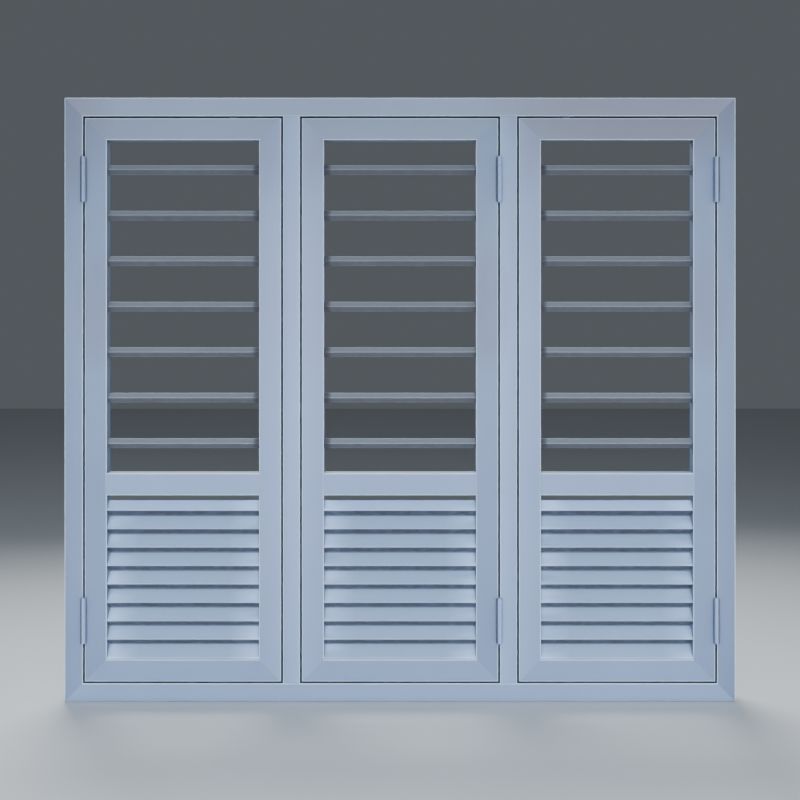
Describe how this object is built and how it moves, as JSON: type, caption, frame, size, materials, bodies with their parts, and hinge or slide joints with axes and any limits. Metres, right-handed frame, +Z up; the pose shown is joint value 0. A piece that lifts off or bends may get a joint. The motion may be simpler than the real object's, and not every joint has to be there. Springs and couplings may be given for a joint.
{
  "type": "steel casement window",
  "caption": "Painted steel window: side-hung sashes in a rebated frame with mullions, each with a barred opening above a louvred panel, on butt hinges, with tower bolts inside.",
  "frame": {"origin": "middle of the sill's underside, at mid width and mid depth of the frame", "axes": "+X along the sill to the right seen from the pictured front, +Y from that front to the back, +Z up"},
  "size_m": [1.524, 0.0854, 1.372],
  "materials": {
    "frame_paint": "satin",
    "sash_paint": "satin",
    "bar_paint": "satin",
    "louvre_paint": "satin",
    "hinge_paint": "satin",
    "zinc": "satin"
  },
  "bodies": {
    "frame": {"frame_head": "frame_paint", "frame_sill": "frame_paint", "frame_jamb_left": "frame_paint", "frame_jamb_right": "frame_paint", "mullion_left": "frame_paint", "mullion_right": "frame_paint", "left_hinge_frame_leaves": "hinge_paint", "left_hinge_pins": "hinge_paint", "centre_hinge_frame_leaves": "hinge_paint", "centre_hinge_pins": "hinge_paint", "right_hinge_frame_leaves": "hinge_paint", "right_hinge_pins": "hinge_paint"},
    "sash_left": {"left_hinge_stile": "sash_paint", "left_lock_stile": "sash_paint", "left_top_rail": "sash_paint", "left_middle_rail": "sash_paint", "left_bottom_rail": "sash_paint", "left_grille_bars": "bar_paint", "left_louvre_blades": "louvre_paint", "left_hinge_sash_leaves": "hinge_paint", "left_bolt_base": "zinc", "left_pull_handle": "zinc", "left_fitting_screws": "zinc"},
    "bolt_left": {"left_bolt_rod": "zinc"},
    "sash_centre": {"centre_hinge_stile": "sash_paint", "centre_lock_stile": "sash_paint", "centre_top_rail": "sash_paint", "centre_middle_rail": "sash_paint", "centre_bottom_rail": "sash_paint", "centre_grille_bars": "bar_paint", "centre_louvre_blades": "louvre_paint", "centre_hinge_sash_leaves": "hinge_paint", "centre_bolt_base": "zinc", "centre_pull_handle": "zinc", "centre_fitting_screws": "zinc"},
    "bolt_centre": {"centre_bolt_rod": "zinc"},
    "sash_right": {"right_hinge_stile": "sash_paint", "right_lock_stile": "sash_paint", "right_top_rail": "sash_paint", "right_middle_rail": "sash_paint", "right_bottom_rail": "sash_paint", "right_grille_bars": "bar_paint", "right_louvre_blades": "louvre_paint", "right_hinge_sash_leaves": "hinge_paint", "right_bolt_base": "zinc", "right_pull_handle": "zinc", "right_fitting_screws": "zinc"},
    "bolt_right": {"right_bolt_rod": "zinc"}
  },
  "joints": [
    {"name": "sash_left_swing", "type": "hinge", "parent": "frame", "child": "sash_left", "pos_m": [-0.718, -0.0394, 0.686], "axis": [0, 0, -1], "range_deg": [0, 100]},
    {"name": "bolt_left_slide", "type": "slide", "parent": "sash_left", "child": "bolt_left", "axis": [0, 0, -1], "range_m": [0, 0.02]},
    {"name": "sash_centre_swing", "type": "hinge", "parent": "frame", "child": "sash_centre", "pos_m": [0.225, -0.0394, 0.686], "axis": [0, 0, 1], "range_deg": [0, 100]},
    {"name": "bolt_centre_slide", "type": "slide", "parent": "sash_centre", "child": "bolt_centre", "axis": [0, 0, -1], "range_m": [0, 0.02]},
    {"name": "sash_right_swing", "type": "hinge", "parent": "frame", "child": "sash_right", "pos_m": [0.718, -0.0394, 0.686], "axis": [0, 0, 1], "range_deg": [0, 100]},
    {"name": "bolt_right_slide", "type": "slide", "parent": "sash_right", "child": "bolt_right", "axis": [0, 0, -1], "range_m": [0, 0.02]}
  ]
}
